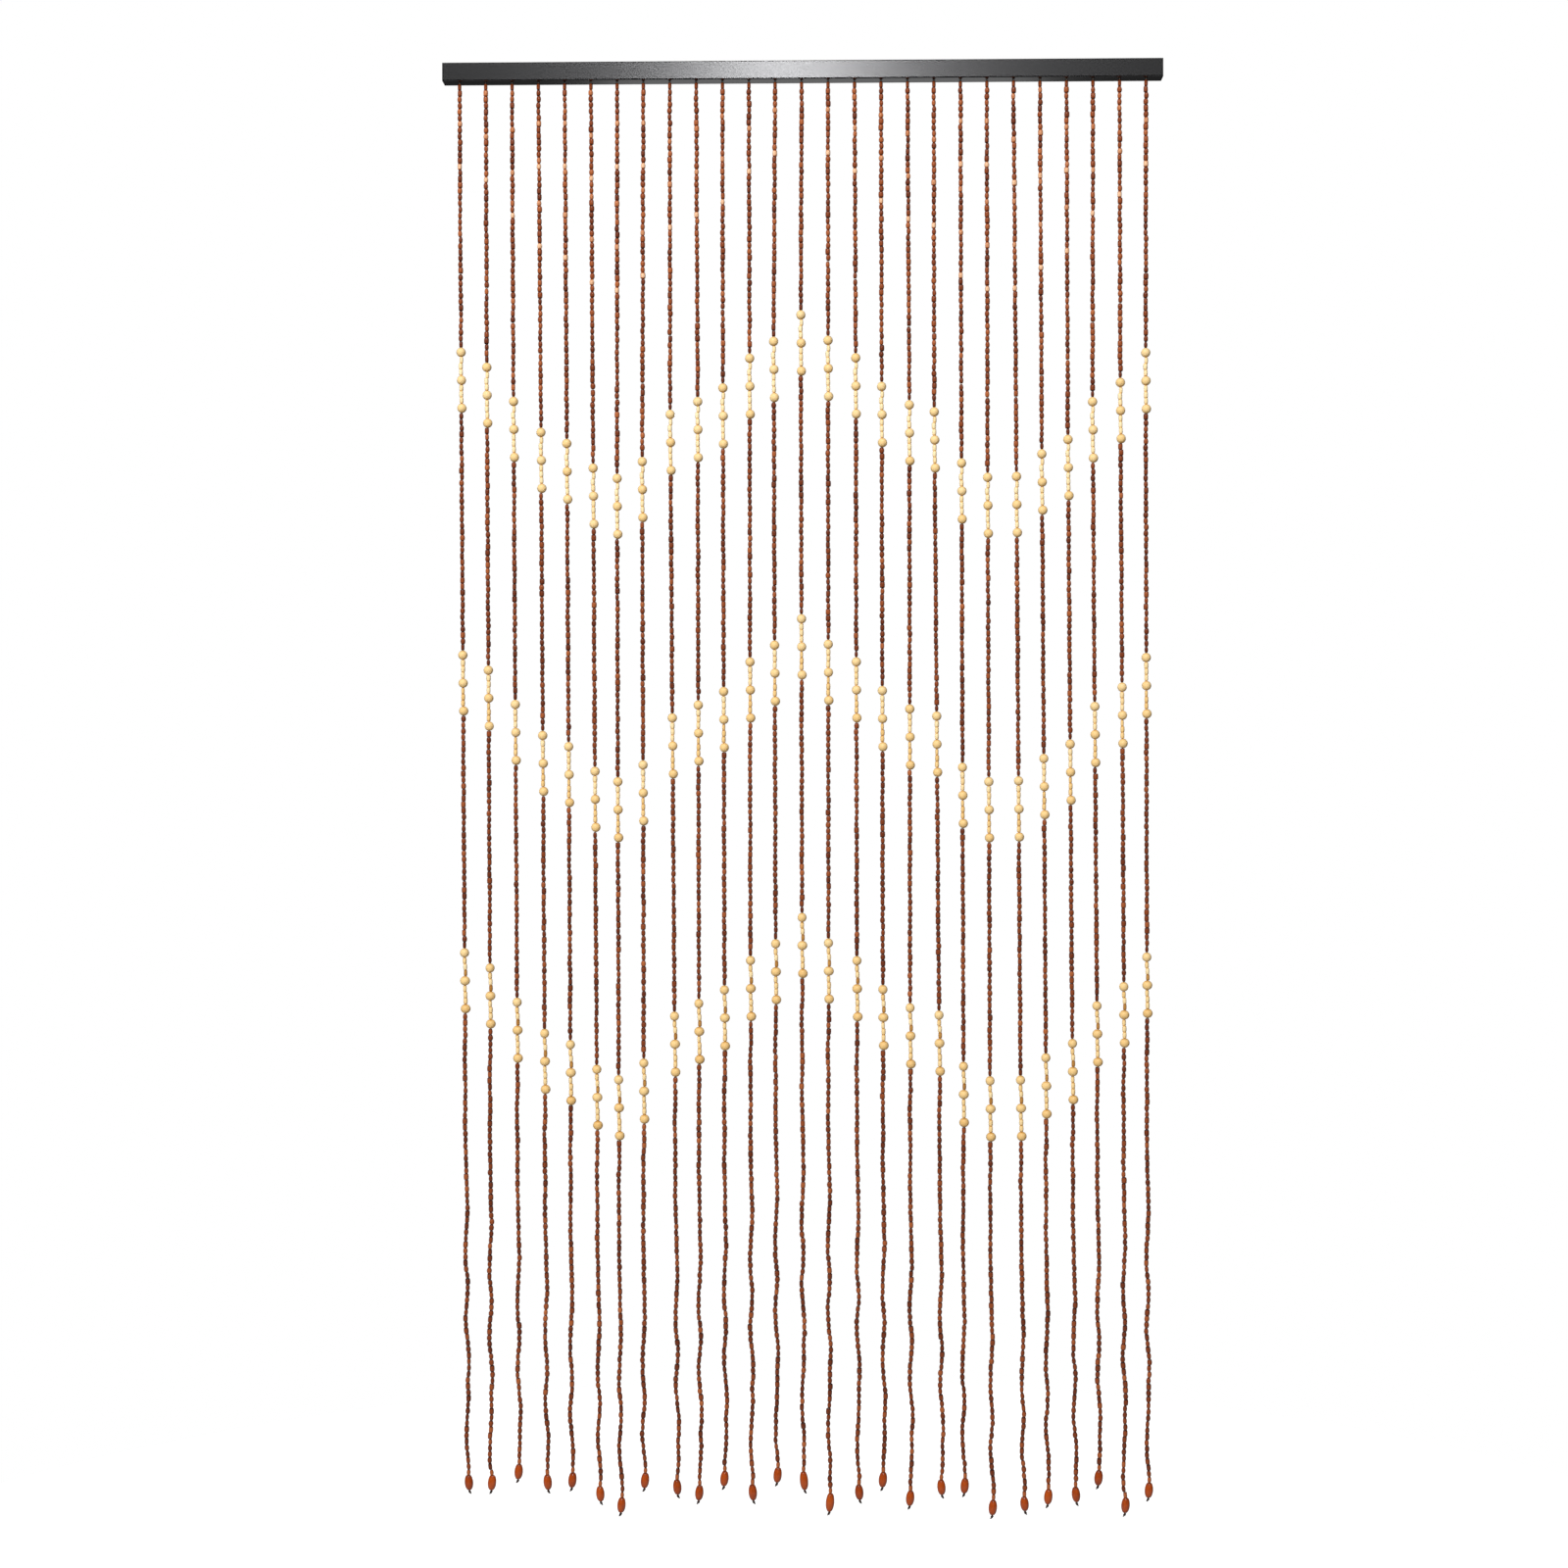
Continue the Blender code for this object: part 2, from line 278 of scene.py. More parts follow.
# The cords: 27 lengths of waxed cotton, two plies twisted to 2 mm, undyed where they run down through the
# beads. A knot inside the rail holds each one up, and a knot stained dark below the end bead keeps the
# beads on. Each hangs with a lean of its own, and low down they all sway much alike.
HOLE_ROW = 860 * MM
GROUP_DROPS = (0, 380.5 * MM, 754.5 * MM)  # of the first ball of each group, below the strand's first
RIGHT = 1
LEFT = -1


class Strand(NamedTuple):
    """One strand's own measures, in mm. A lean is how far to the right of its hole the strand hangs."""

    first_ball: float
    end_bead: float
    lean_first: float
    lean_third: float
    lean_end: float
    end_length: float
    tail: int


STRANDS = (
    Strand(361, 1781, 2.0, 6.5, 12.0, 18, RIGHT),
    Strand(380, 1781, 1.5, 5.5, 8.0, 18, LEFT),
    Strand(423, 1767, 2.0, 6.5, 8.5, 18, LEFT),
    Strand(462, 1780, 3.5, 8.0, 12.0, 18, RIGHT),
    Strand(476, 1777, 3.0, 7.5, 10.0, 18, LEFT),
    Strand(507, 1794, 3.0, 7.5, 12.0, 18, RIGHT),
    Strand(520, 1808, 0.0, 2.0, 5.5, 18, LEFT),
    Strand(499, 1777, -1.5, 0.5, 2.0, 18, LEFT),
    Strand(440, 1785, 0.5, 6.0, 9.5, 18, RIGHT),
    Strand(424, 1792, 2.0, 3.5, 4.0, 18, LEFT),
    Strand(407, 1774, 0.5, 2.5, 2.5, 18, LEFT),
    Strand(370, 1791, 1.0, 2.0, 5.0, 19, RIGHT),
    Strand(349, 1769, -2.0, 0.5, 3.0, 18, LEFT),
    Strand(316, 1776, -1.0, 0.5, 3.0, 22, RIGHT),
    Strand(348, 1803, 0.0, 0.5, 2.5, 22, LEFT),
    Strand(370, 1790, 1.5, 3.0, 6.0, 18, RIGHT),
    Strand(406, 1774, 1.0, 2.5, 2.5, 18, LEFT),
    Strand(429, 1797, 2.5, 3.5, 3.5, 18, LEFT),
    Strand(438, 1783, 0.5, 6.5, 9.5, 18, RIGHT),
    Strand(502, 1781, 1.5, 4.0, 5.5, 18, LEFT),
    Strand(520, 1808, 1.0, 4.0, 7.5, 18, LEFT),
    Strand(519, 1803, 4.0, 9.0, 14.0, 17, RIGHT),
    Strand(491, 1794, 2.5, 7.5, 10.5, 18, LEFT),
    Strand(473, 1791, 2.0, 7.5, 12.0, 18, RIGHT),
    Strand(426, 1770, -0.5, 5.0, 7.0, 18, LEFT),
    Strand(402, 1804, 1.0, 5.5, 7.5, 18, LEFT),
    Strand(365, 1785, -0.5, 1.0, 3.5, 18, LEFT),
)


class Sway(NamedTuple):
    """How far every strand sways to the right at a distance below its third group's first ball, in mm."""

    distance: float
    right: float


SWAYS = (
    Sway(0, 0),
    Sway(105, 0.4),
    Sway(125, -0.7),
    Sway(178, 0.1),
    Sway(215, -0.6),
    Sway(292, 0.9),
    Sway(321, 1.8),
    Sway(368, -1.0),
    Sway(391, -1.0),
    Sway(413, 1.6),
    Sway(430, 1.2),
    Sway(455, -1.2),
    Sway(469, -1.2),
    Sway(503, 2.4),
    Sway(521, 2.4),
    Sway(536, 1.0),
    Sway(556, 1.8),
    Sway(596, -0.6),
    Sway(620, -0.9),
    Sway(648, 2.1),
    Sway(669, 1.5),
)


def sway_at(distance):
    """How far to the right every strand sways at a distance below its third group's first ball."""
    for above, below in zip(SWAYS, SWAYS[1:]):
        if distance <= below.distance * MM:
            part = (distance / MM - above.distance) / (below.distance - above.distance)
            return MM * (above.right + part * (below.right - above.right))
    return MM * SWAYS[-1].right


def hang(index, drop):
    """The point of a strand at a drop."""
    strand = STRANDS[index]
    hole = HOLE_ROW * (index / (len(STRANDS) - 1) - 0.5)
    first = strand.first_ball * MM
    third = first + GROUP_DROPS[-1]
    end = strand.end_bead * MM
    if drop <= first:
        shift = MM * strand.lean_first * drop / first
    elif drop <= third:
        part = (drop - first) / (third - first)
        shift = MM * (strand.lean_first + part * (strand.lean_third - strand.lean_first))
    else:
        part = (drop - third) / (end - third)
        rest = MM * (strand.lean_end - strand.lean_third) - sway_at(end - third)
        shift = MM * strand.lean_third + part * rest + sway_at(drop - third)
    return Vector((hole + shift, 0, -drop))


ROOT_KNOT = 18.8 * MM  # the drop of its middle
ROOT_KNOT_HALF = 1 * MM  # from its middle up and down to its two turns
ROOT_KNOT_TILT = 0.25  # of each turn, in radians
PLIES = 2
PLY_RADIUS = 0.52 * MM
PLY_PRESS = 0.9  # how far a ply's middle is from the cord's, as a share of its radius
PLY_SIDES = 8
PLY_TURN = 4 * MM  # the drop of one whole twist
PLY_STEP = 0.5 * MM
TWIST_TOP = 16.5 * MM
TWIST_END = 33 * MM
CORD_RADIUS = 0.8 * MM  # inside the beads, where it is pulled thin
CORD_SIDES = 8
CORD_STEP = 25 * MM
END_BEAD_TILT = math.radians(5)
TAIL_RADIUS = 1.1 * MM
TAIL_LENGTH = 5 * MM
TAIL_TURN = 1.9 * MM
TAIL_NECK = 0.4  # the share of its length where it turns aside
TAIL_INSIDE = 0.2  # the share by which it starts inside the end bead
TAIL_KNOT = ((-0.05, 0.1), (0.35, 0.5))  # its turns: share of the way from neck to tip, radians of lean
UNDYED = 1.0
STAINED = 0.0
COTTON_FIBRE = 0.25 * MM  # real fibres are 0.02 mm, and these are drawn coarser so that they show
COTTON_FIBRE_DEPTH = 0.05 * MM
COTTON_UNEVEN = 0.15
COTTON_ROUGHNESS = 0.7
COTTON_SHEEN = 0.1
SHARP_FROM = math.radians(62)

waxed = bpy.data.materials.new("waxed cotton cord")
waxed.use_nodes = True
tree = waxed.node_tree
cotton = tree.nodes["Principled BSDF"]
place = add_node(tree, "ShaderNodeTexCoord")
dye = add_node(tree, "ShaderNodeAttribute", attribute_name="tone")
fibres = add_node(
    tree,
    "ShaderNodeTexNoise",
    {"Vector": place.outputs["Object"], "Scale": 1 / COTTON_FIBRE, "Detail": 2},
)
uneven = add_node(
    tree,
    "ShaderNodeMapRange",
    {"Value": fibres.outputs["Fac"], "To Min": -COTTON_UNEVEN, "To Max": COTTON_UNEVEN},
)
dyed = add_node(
    tree, "ShaderNodeMath", {0: uneven.outputs["Result"], 1: dye.outputs["Fac"]}, operation="ADD"
)
shade = add_node(tree, "ShaderNodeValToRGB", {"Fac": dyed.outputs["Value"]})
shade.color_ramp.elements[0].color = linear("#2A150B")
shade.color_ramp.elements[1].color = linear("#F2E6D2")
relief = add_node(
    tree,
    "ShaderNodeBump",
    {"Height": fibres.outputs["Fac"], "Distance": COTTON_FIBRE_DEPTH, "Strength": 1.0},
)
cotton.inputs["Roughness"].default_value = COTTON_ROUGHNESS
cotton.inputs["Sheen Weight"].default_value = COTTON_SHEEN
tree.links.new(shade.outputs["Color"], cotton.inputs["Base Color"])
tree.links.new(relief.outputs["Normal"], cotton.inputs["Normal"])


def new_strand_mesh():
    """An empty mesh for the parts of one strand that share a finish.

    Each point keeps the tone of its wood or cord, and how near it is to the end of its bead.
    """
    bm = bmesh.new()
    bm.verts.layers.float.new("tone")
    bm.verts.layers.float.new("rim")
    return bm


def turned(name, outline, sides):
    """A shape turned about Z from a closed outline of (radius, height) points."""
    bm = new_strand_mesh()
    points = [bm.verts.new((radius, 0, height)) for radius, height in outline]
    edges = [bm.edges.new(pair) for pair in zip(points, points[1:] + points[:1])]
    bmesh.ops.spin(
        bm,
        geom=points + edges,
        cent=(0, 0, 0),
        axis=(0, 0, 1),
        angle=math.tau,
        steps=sides,
        use_merge=True,
    )
    bmesh.ops.recalc_face_normals(bm, faces=bm.faces)
    # How near each point is to its bead's end, which the wood finishes use for painted shade where beads
    # meet.
    rim = bm.verts.layers.float["rim"]
    for vert in bm.verts:
        vert[rim] = abs(vert.co.z)
    shape = bpy.data.meshes.new(name)
    bm.to_mesh(shape)
    bm.free()
    return shape


def set_tone(bm, first, tone):
    """Gives a tone to the points of a mesh from the first one given."""
    bm.verts.ensure_lookup_table()
    layer = bm.verts.layers.float["tone"]
    for vert in bm.verts[first:]:
        vert[layer] = tone


def add_shape(bm, shape, matrix, tone):
    """Joins a copy of a shape to a strand's mesh."""
    first = len(bm.verts)
    bm.from_mesh(shape)
    set_tone(bm, first, tone)
    bmesh.ops.transform(bm, matrix=matrix, verts=bm.verts[first:])


def add_tube(bm, points, radius, sides, tone):
    """Joins a closed tube down a line of points to a strand's mesh. Its rings lie level."""
    first = len(bm.verts)
    cone = bmesh.ops.create_cone(
        bm, cap_ends=True, segments=sides, radius1=radius, radius2=radius, depth=radius
    )
    caps = {face for vert in cone["verts"] for face in vert.link_faces if len(face.verts) == sides}
    end, top = sorted(caps, key=lambda face: face.calc_center_median().z)
    bmesh.ops.translate(bm, vec=points[0] - top.calc_center_median(), verts=top.verts)
    bmesh.ops.translate(bm, vec=points[1] - end.calc_center_median(), verts=end.verts)
    for point in points[2:]:
        end = bmesh.ops.extrude_discrete_faces(bm, faces=[end])["faces"][0]
        bmesh.ops.translate(bm, vec=point - end.calc_center_median(), verts=end.verts)
    set_tone(bm, first, tone)


def add_piece(index, part, bm, material):
    """Makes a joined mesh a piece of a strand. It stands for the strand's plain solid with the others."""
    node = f"strand_{index + 1:02d}"
    mesh = bpy.data.meshes.new(f"{node}_{part}")
    bm.to_mesh(mesh)
    bm.free()
    mesh.materials.append(material)
    mesh.shade_smooth()
    mesh.set_sharp_from_angle(angle=SHARP_FROM)
    piece = bpy.data.objects.new(mesh.name, mesh)
    scene.collection.objects.link(piece)
    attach(piece, "root")
    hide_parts(node)


def ring_of_cord(name, radius, thick, sides, steps):
    """One turn of a knot as a ring about Z, from the radius of the ring and that of the cord."""
    corners = [math.tau * corner / sides for corner in range(sides)]
    outline = [(radius + thick * math.cos(angle), thick * math.sin(angle)) for angle in corners]
    return turned(name, outline, steps)


def end_bead_ends(index):
    """The points where the cord goes into the tilted end bead and comes out of it."""
    strand = STRANDS[index]
    half = strand.end_length * MM / 2
    middle = Vector((hang(index, 0).x + strand.lean_end * MM, 0, -strand.end_bead * MM))
    down = Vector((strand.tail * math.tan(END_BEAD_TILT) * half, 0, -half))
    return middle - down, middle + down


root_turn = ring_of_cord("turn of the root knot", radius=2.0 * MM, thick=0.98 * MM, sides=8, steps=12)
tail_turn = ring_of_cord("turn of the tail knot", radius=1.0 * MM, thick=0.8 * MM, sides=6, steps=10)

for index, strand in enumerate(STRANDS):
    bm = new_strand_mesh()
    for side in (LEFT, RIGHT):
        knot = hang(index, ROOT_KNOT + side * ROOT_KNOT_HALF)
        tilt = Matrix.Rotation(side * ROOT_KNOT_TILT, 4, "Y")
        add_shape(bm, root_turn, Matrix.Translation(knot) @ tilt, UNDYED)

    steps = round((TWIST_END - TWIST_TOP) / PLY_STEP)
    for ply in range(PLIES):
        points = []
        for step in range(steps + 1):
            drop = TWIST_TOP + step * PLY_STEP
            angle = math.tau * ply / PLIES + math.tau * drop / PLY_TURN
            around = Vector((math.cos(angle), math.sin(angle), 0)) * PLY_RADIUS * PLY_PRESS
            points.append(hang(index, drop) + around)
        add_tube(bm, points, PLY_RADIUS, PLY_SIDES, UNDYED)

    into, out = end_bead_ends(index)
    run = -into.z - TWIST_END
    steps = round(run / CORD_STEP)
    points = [hang(index, TWIST_END + run * step / steps) for step in range(steps)]
    add_tube(bm, points + [into, out], CORD_RADIUS, CORD_SIDES, UNDYED)

    down = Vector((0, 0, -TAIL_LENGTH))
    start = out - TAIL_INSIDE * down
    neck = out + TAIL_NECK * down
    tip = out + down + Vector((strand.tail * TAIL_TURN, 0, 0))
    add_tube(bm, [start, neck, (neck + tip) / 2, tip], TAIL_RADIUS, CORD_SIDES, STAINED)
    for share, lean in TAIL_KNOT:
        turn = Matrix.Translation(neck.lerp(tip, share)) @ Matrix.Rotation(-lean * strand.tail, 4, "Y")
        add_shape(bm, tail_turn, turn, STAINED)
    add_piece(index, "cord", bm, waxed)


# The brown beads are turned from a pale hardwood, drilled, then tumbled with a red-brown stain and a
# lacquer. Each took the stain a little differently, and a few hardly took it. Their bores are wider than
# the cord, so each sits a little to one side, and in the first run the cord shows once between two.
BEAD_PITCH = 7.7 * MM
BEAD_GAP = 0.12 * MM
BEAD_WIDTH = 6.0 * MM
BEAD_SIDES = 8
BEAD_PLAY = 0.4 * MM
WIDTH_SHARES = (0.87, 1.11)  # of the thinnest bead and the fattest
FIRST_BEAD_TOP = 24.2 * MM
FIRST_BEAD_END = 32.2 * MM
FIRST_BEAD_WIDTH = 4.7 * MM
NARROW_WIDTH = 4.7 * MM  # of the bead above each group of balls
LAST_WIDTH = 5.1 * MM  # of the bead above the end bead
LAST_SHARE = 0.6  # how far that bead follows the tilted end bead's top
BALL_LENGTH = 12 * MM
GROUP_LENGTH = 82.2 * MM  # from the top of a group's first ball to the end of its third
SLACK = 0.9 * MM  # the cord that shows in the first run
BEADS_BELOW_SLACK = 12
BEAD_SHAPES = (  # shares of half the width and of half the length
    ((0.42, 0.96), (0.59, 1.0), (0.88, 0.57), (1.0, 0.0), (0.88, -0.57), (0.59, -1.0), (0.42, -0.96)),
    ((0.42, 0.97), (0.74, 1.0), (0.94, 0.72), (1.0, 0.0), (0.94, -0.72), (0.74, -1.0), (0.42, -0.97)),
    ((0.42, 0.96), (0.54, 1.0), (0.83, 0.54), (1.0, 0.05), (0.90, -0.58), (0.62, -1.0), (0.42, -0.96)),
)
BARE_ABOVE_BALL = 234 * MM  # from the bead that hardly took the stain down to the first ball
NO_BARE_BEAD = 14  # the one strand that has none there
MORE_BARE_BEADS = {  # strand: drop in mm
    4: 129,
    5: 129,
    6: 140,
    7: 129,
    8: 129,
    20: 130,
    21: 127,
    22: 149,
    23: 140,
    24: 135,
}
LIGHTER_EVERY = 7  # beads above a bare one, a lighter one, and again as far above that
BARE_TONES = (0.94, 0.83, 0.78)
UPPER_TONE = 0.47
LOWER_TONE = 0.42
TONE_SPREAD = 0.11
DARK_TONE = 0.28
LIGHT_TONE = 0.74  # of the lightest bead that took the stain
LAST_TONE = 0.66
WOOD_FIBRE = 0.9 * MM  # real fibres are 0.05 mm, and these are drawn coarser so that they show
WOOD_FIBRE_STRETCH = 6
WOOD_FIBRE_DEPTH = 0.03 * MM
WOOD_FIBRE_RANGE = (0.3, 0.7)  # of the noise that stands for fibres
WOOD_FIBRE_CHANGE = 60.0  # how far a bead's tone moves it through that noise, so that no two are alike
WOOD_ROUGHNESS = (0.35, 0.55)
WOOD_SHINE = 0.2  # little, because the lacquer over it takes the shine
RIM_FROM = 0.6  # the share of a bead's half length past which painted shade darkens its rim


def lacquered_wood(name, colours, contrast, painted_end_shade, coat, coat_roughness):
    """Turned wood under a lacquer, with its fibres along Z. The colours run from tone 0 to tone 1."""
    material = bpy.data.materials.new(name)
    material.use_nodes = True
    tree = material.node_tree
    wood = tree.nodes["Principled BSDF"]
    place = add_node(tree, "ShaderNodeTexCoord")
    tone = add_node(tree, "ShaderNodeAttribute", attribute_name="tone").outputs["Fac"]
    rim = add_node(tree, "ShaderNodeAttribute", attribute_name="rim").outputs["Fac"]
    along = add_node(
        tree,
        "ShaderNodeMapping",
        {"Vector": place.outputs["Object"], "Scale": (1, 1, 1 / WOOD_FIBRE_STRETCH)},
    )
    own = add_node(tree, "ShaderNodeMath", {0: tone, 1: WOOD_FIBRE_CHANGE}, operation="MULTIPLY")
    fibres = add_node(
        tree,
        "ShaderNodeTexNoise",
        {
            "Vector": along.outputs["Vector"],
            "W": own.outputs["Value"],
            "Scale": 1 / WOOD_FIBRE,
            "Detail": 3,
        },
        noise_dimensions="4D",
    )
    uneven = add_node(
        tree,
        "ShaderNodeMapRange",
        {
            "Value": fibres.outputs["Fac"],
            "From Min": WOOD_FIBRE_RANGE[0],
            "From Max": WOOD_FIBRE_RANGE[1],
            "To Min": -contrast,
            "To Max": contrast,
        },
    )
    # Painted shade: each bead darkens towards its ends, where it meets its neighbour and shade falls.
    painted_joint_shade = add_node(
        tree,
        "ShaderNodeMapRange",
        {"Value": rim, "From Min": RIM_FROM, "To Min": 0.0, "To Max": -painted_end_shade},
    )
    stained = add_node(
        tree, "ShaderNodeMath", {0: tone, 1: uneven.outputs["Result"]}, operation="ADD"
    )
    rimmed = add_node(
        tree,
        "ShaderNodeMath",
        {0: stained.outputs["Value"], 1: painted_joint_shade.outputs["Result"]},
        operation="ADD",
    )
    shade = add_node(tree, "ShaderNodeValToRGB", {"Fac": rimmed.outputs["Value"]})
    ramp = shade.color_ramp.elements
    while len(ramp) < len(colours):
        ramp.new(0.5)
    for element, (position, colour) in zip(ramp, colours):
        element.position = position
        element.color = linear(colour)
    satin = add_node(
        tree,
        "ShaderNodeMapRange",
        {
            "Value": fibres.outputs["Fac"],
            "To Min": WOOD_ROUGHNESS[0],
            "To Max": WOOD_ROUGHNESS[1],
        },
    )
    relief = add_node(
        tree,
        "ShaderNodeBump",
        {"Height": fibres.outputs["Fac"], "Distance": WOOD_FIBRE_DEPTH, "Strength": 1.0},
    )
    wood.inputs["Specular IOR Level"].default_value = WOOD_SHINE
    wood.inputs["Coat Weight"].default_value = coat
    wood.inputs["Coat Roughness"].default_value = coat_roughness
    tree.links.new(shade.outputs["Color"], wood.inputs["Base Color"])
    tree.links.new(satin.outputs["Result"], wood.inputs["Roughness"])
    tree.links.new(relief.outputs["Normal"], wood.inputs["Normal"])
    return material


def between(above, below, width, turn):
    """The matrix that fits a shape of radius 1 and heights from -1 to 1 between two points."""
    along = (above - below).to_track_quat("Z", "Y").to_matrix().to_4x4()
    half = (above - below).length / 2
    size = Matrix.Diagonal((width / 2, width / 2, half, 1))
    return Matrix.Translation((above + below) / 2) @ along @ Matrix.Rotation(turn, 4, "Z") @ size


def string_bead(bm, shape, index, top, length, width, aside, tone, chance):
    """Strings one bead on a strand, a little to one side of the cord."""
    play = Vector((aside, chance.uniform(-BEAD_PLAY, BEAD_PLAY), 0))
    above = hang(index, top + BEAD_GAP / 2) + play
    below = hang(index, top + length - BEAD_GAP / 2) + play
    add_shape(bm, shape, between(above, below, width, chance.uniform(0, math.tau)), tone)


def bare_drops(index):
    """The drops of a strand's beads that hardly took the stain."""
    drops = []
    if index + 1 != NO_BARE_BEAD:
        drops.append(STRANDS[index].first_ball * MM - BARE_ABOVE_BALL)
    if index + 1 in MORE_BARE_BEADS:
        drops.append(MORE_BARE_BEADS[index + 1] * MM)
    return drops


def string_run(bm, index, top, end, usual, last, slack, chance):
    """Strings a run of brown beads between two drops. The last one's width, tone and place are given."""
    count = round((end - top - slack) / BEAD_PITCH)
    length = (end - top - slack) / count
    for number in range(count):
        bead_top = top + number * length
        if number >= count - BEADS_BELOW_SLACK:
            bead_top += slack
        width = BEAD_WIDTH * chance.uniform(*WIDTH_SHARES)
        tone = min(max(chance.gauss(usual, TONE_SPREAD), DARK_TONE), LIGHT_TONE)
        for bare in bare_drops(index):
            for step, lighter in enumerate(BARE_TONES):
                if 0 <= bare - step * LIGHTER_EVERY * BEAD_PITCH - bead_top < length:
                    tone = lighter
        shape = chance.choice(brown_shapes)
        aside = chance.uniform(-BEAD_PLAY, BEAD_PLAY)
        if number == count - 1:
            width, tone, aside = last
        string_bead(bm, shape, index, bead_top, length, width, aside, tone, chance)


stained_wood = lacquered_wood(
    "stained hardwood",
    (
        (0.0, "#34130A"),
        (0.25, "#662D16"),
        (0.5, "#8E4520"),
        (0.75, "#B46536"),
        (0.9, "#DBA47A"),
        (1.0, "#F6CFA9"),
    ),
    contrast=0.07,
    # painted shade at the bead ends, where beads meet
    painted_end_shade=0.42,
    coat=0.45,
    coat_roughness=0.25,
)
brown_shapes = [turned("brown bead", outline, BEAD_SIDES) for outline in BEAD_SHAPES]

for index, strand in enumerate(STRANDS):
    chance = random.Random(index)
    bm = new_strand_mesh()
    first_ball_top = strand.first_ball * MM - BALL_LENGTH / 2
    string_bead(
        bm,
        brown_shapes[1],
        index,
        top=FIRST_BEAD_TOP,
        length=FIRST_BEAD_END - FIRST_BEAD_TOP,
        width=FIRST_BEAD_WIDTH,
        aside=0.0,
        tone=UPPER_TONE,
        chance=chance,
    )
    narrow = (NARROW_WIDTH, DARK_TONE, 0.0)
    string_run(bm, index, FIRST_BEAD_END, first_ball_top, UPPER_TONE, narrow, SLACK, chance)
    for above, below in zip(GROUP_DROPS, GROUP_DROPS[1:]):
        top = first_ball_top + above + GROUP_LENGTH
        end = first_ball_top + below
        string_run(bm, index, top, end, LOWER_TONE, narrow, slack=0.0, chance=chance)
    top = first_ball_top + GROUP_DROPS[-1] + GROUP_LENGTH
    end = strand.end_bead * MM - strand.end_length * MM / 2
    aside = (end_bead_ends(index)[0].x - hang(index, end).x) * LAST_SHARE
    last = (LAST_WIDTH, LAST_TONE, aside)
    string_run(bm, index, top, end, LOWER_TONE, last, slack=0.0, chance=chance)
    add_piece(index, "brown_beads", bm, stained_wood)


# The pale beads are turned from the same hardwood and only lacquered: three balls in each group, with
# three small beads between each two. Some of the small ones were drilled off their middle or sanded thin.
BALL_SIDES = 12
BALL_BANDS = 7
BALL_BORE = 0.23  # of the ball's radius
PALE_PLAY = 0.1 * MM
PALE_TONE_SPREAD = 0.06


class PaleBead(NamedTuple):
    """One bead of a group, in mm. Aside is how far to the right of the cord it sits."""

    length: float
    width: float
    aside: float
    tone: float


PALE_GROUPS = (
    (
        PaleBead(12, 12.0, 0.0, 0.75),
        PaleBead(7.7, 4.7, 0.6, 0.9),
        PaleBead(7.7, 5.6, -0.6, 1.0),
        PaleBead(7.7, 5.4, -0.1, 0.95),
        PaleBead(12, 12.0, 0.3, 0.75),
        PaleBead(7.7, 5.2, 0.0, 0.9),
        PaleBead(7.7, 5.3, 0.0, 0.95),
        PaleBead(7.7, 5.0, 0.3, 0.9),
        PaleBead(12, 12.0, 0.7, 0.72),
    ),
    (
        PaleBead(12, 12.0, 0.0, 0.75),
        PaleBead(7.7, 5.8, 0.0, 0.9),
        PaleBead(7.7, 5.3, 0.2, 0.85),
        PaleBead(7.7, 5.2, 0.0, 0.9),
        PaleBead(12, 12.0, 0.3, 0.72),
        PaleBead(7.7, 4.2, 0.0, 0.6),
        PaleBead(7.7, 5.2, 0.2, 0.6),
        PaleBead(7.7, 5.2, 0.0, 0.65),
        PaleBead(12, 12.0, 0.7, 0.68),
    ),
    (
        PaleBead(12, 11.7, 0.0, 0.72),
        PaleBead(7.7, 5.1, 0.0, 0.7),
        PaleBead(7.7, 5.2, 0.7, 0.9),
        PaleBead(7.7, 4.7, 1.1, 0.12),
        PaleBead(12, 12.9, 0.3, 0.68),
        PaleBead(7.7, 4.9, 0.0, 0.8),
        PaleBead(7.7, 5.4, 0.5, 0.8),
        PaleBead(7.7, 5.4, 0.5, 0.8),
        PaleBead(12, 12.5, 0.7, 0.58),
    ),
)

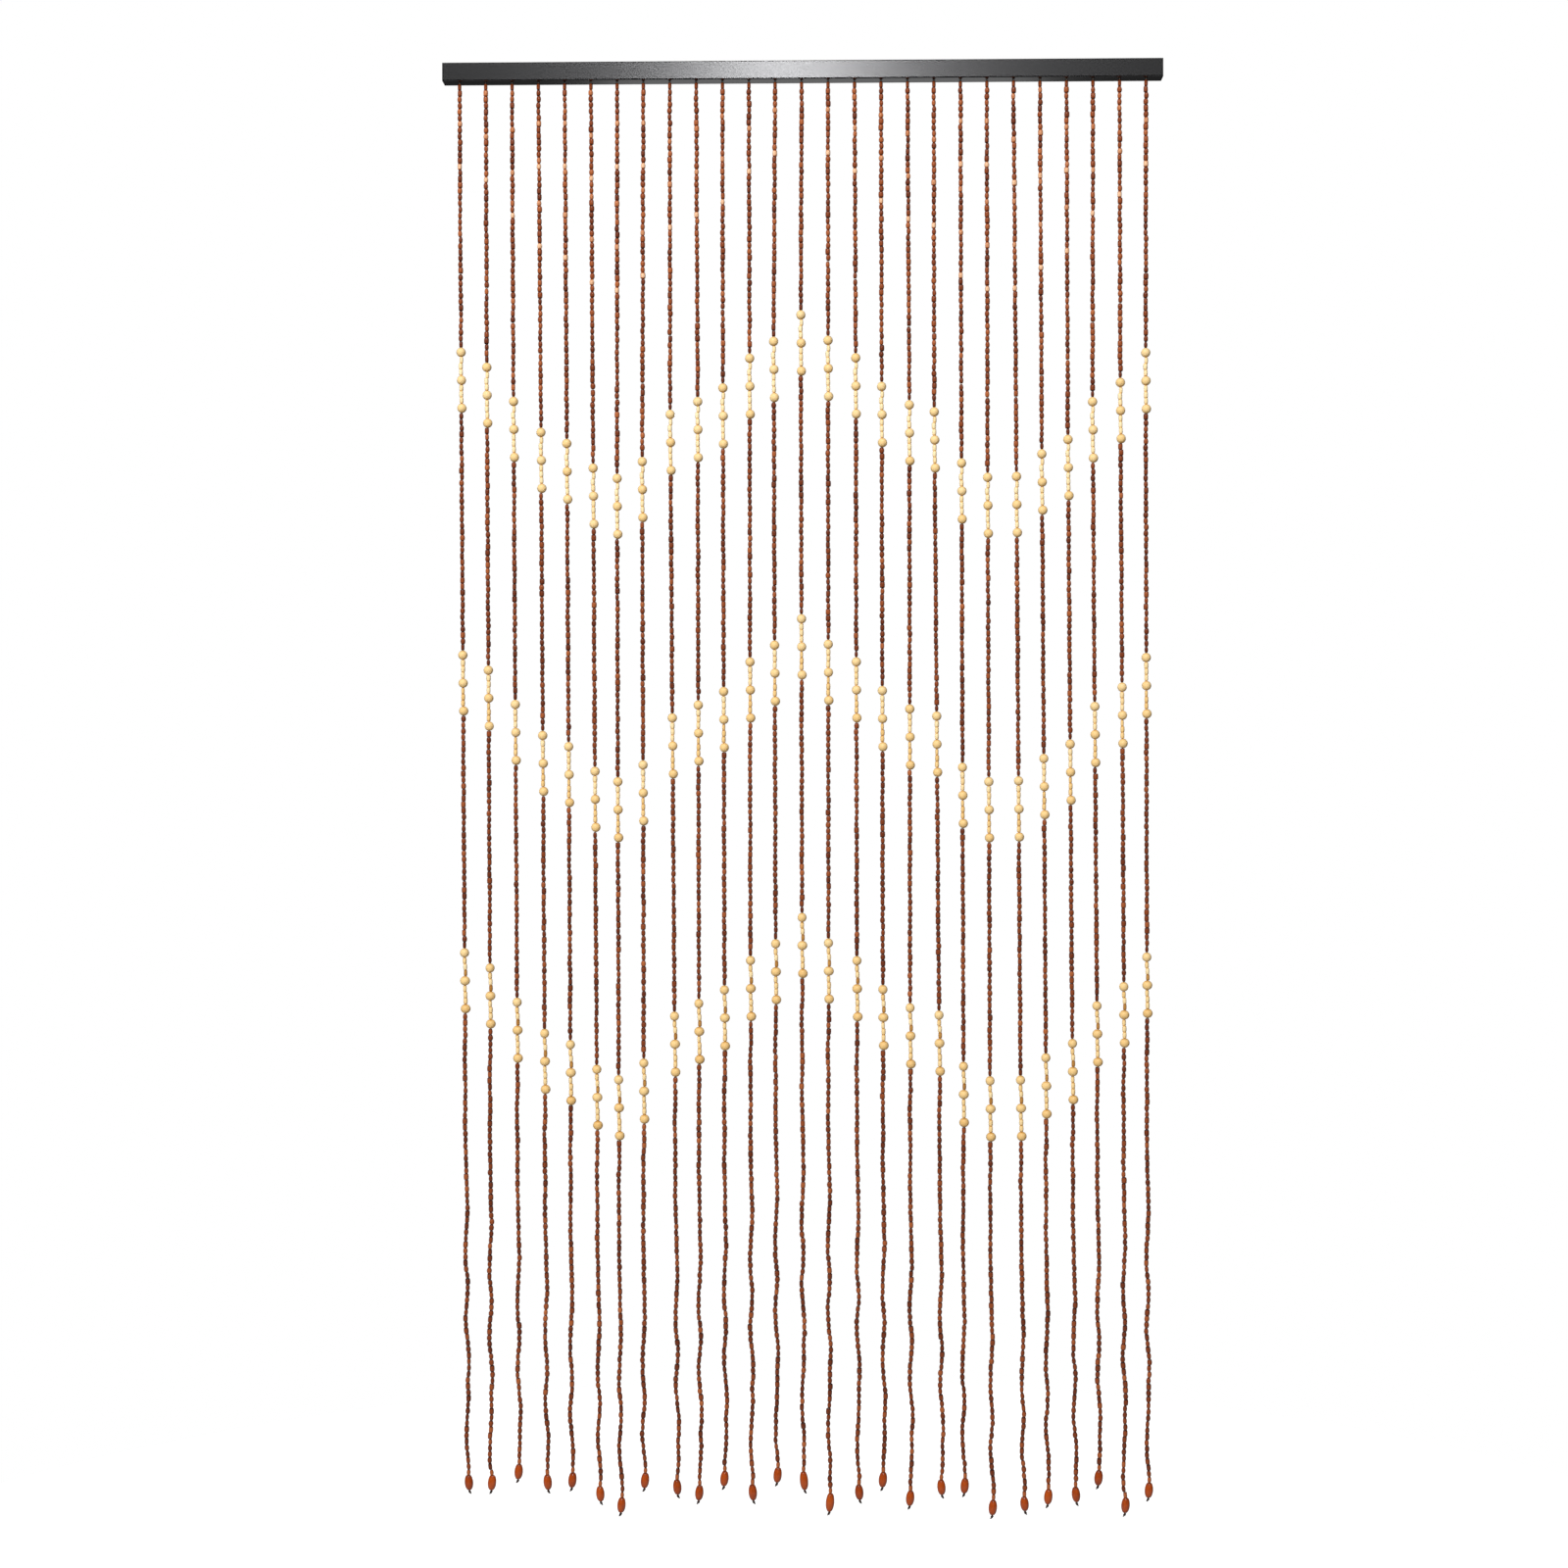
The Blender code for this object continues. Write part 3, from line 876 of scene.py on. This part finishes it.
natural_wood = lacquered_wood(
    "natural hardwood",
    (
        (0.0, "#A06828"),
        (0.35, "#DBA85C"),
        (0.7, "#F2CD8C"),
        (1.0, "#F8E3B4"),
    ),
    contrast=0.05,
    # painted shade at the bead ends, where beads meet
    painted_end_shade=0.5,
    coat=0.3,
    coat_roughness=0.25,
)
bore_angle = math.acos(BALL_BORE)
angles = [bore_angle * (1 - 2 * step / BALL_BANDS) for step in range(BALL_BANDS + 1)]
ball_outline = [(math.cos(angle), math.sin(angle)) for angle in angles]
ball_shape = turned("pale ball", ball_outline, BALL_SIDES)
small_shape = turned("small pale bead", BEAD_SHAPES[1], BEAD_SIDES)

for index, strand in enumerate(STRANDS):
    chance = random.Random(len(STRANDS) + index)
    bm = new_strand_mesh()
    for group_drop, group in zip(GROUP_DROPS, PALE_GROUPS):
        top = strand.first_ball * MM - BALL_LENGTH / 2 + group_drop
        for bead in group:
            length = bead.length * MM
            shape = ball_shape if length == BALL_LENGTH else small_shape
            aside = bead.aside * MM + chance.uniform(-PALE_PLAY, PALE_PLAY)
            tone = bead.tone + chance.uniform(-PALE_TONE_SPREAD, PALE_TONE_SPREAD)
            string_bead(bm, shape, index, top, length, bead.width * MM, aside, tone, chance)
            top += length
    add_piece(index, "pale_beads", bm, natural_wood)


# The end beads are olives of the same wood with a flat top, stained orange brown and lacquered to a high
# gloss. Each is kept on by the tail knot, which pulls it a little out of plumb.
END_BEAD_WIDTH = 10.8 * MM
END_BEAD_SIDES = 14
END_BEAD_TONES = (0.35, 0.65)
END_BEAD_SHAPE = (  # shares of half the width and of half the length
    (0.28, 1.0),
    (0.54, 1.0),
    (0.62, 0.95),
    (0.82, 0.69),
    (0.95, 0.36),
    (1.0, 0.0),
    (0.95, -0.36),
    (0.82, -0.66),
    (0.62, -0.89),
    (0.44, -1.0),
    (0.26, -1.0),
)

orange_wood = lacquered_wood(
    "orange stained hardwood",
    (
        (0.0, "#6A2408"),
        (0.5, "#AA450A"),
        (1.0, "#C25814"),
    ),
    contrast=0.2,
    # painted shade at the bead's ends, where it meets the last brown bead and the tail knot
    painted_end_shade=0.25,
    coat=1.0,
    coat_roughness=0.12,
)
olive_shape = turned("end bead", END_BEAD_SHAPE, END_BEAD_SIDES)

for index in range(len(STRANDS)):
    chance = random.Random(2 * len(STRANDS) + index)
    bm = new_strand_mesh()
    above, below = end_bead_ends(index)
    place = between(above, below, END_BEAD_WIDTH, chance.uniform(0, math.tau))
    add_shape(bm, olive_shape, place, chance.uniform(*END_BEAD_TONES))
    add_piece(index, "end_bead", bm, orange_wood)
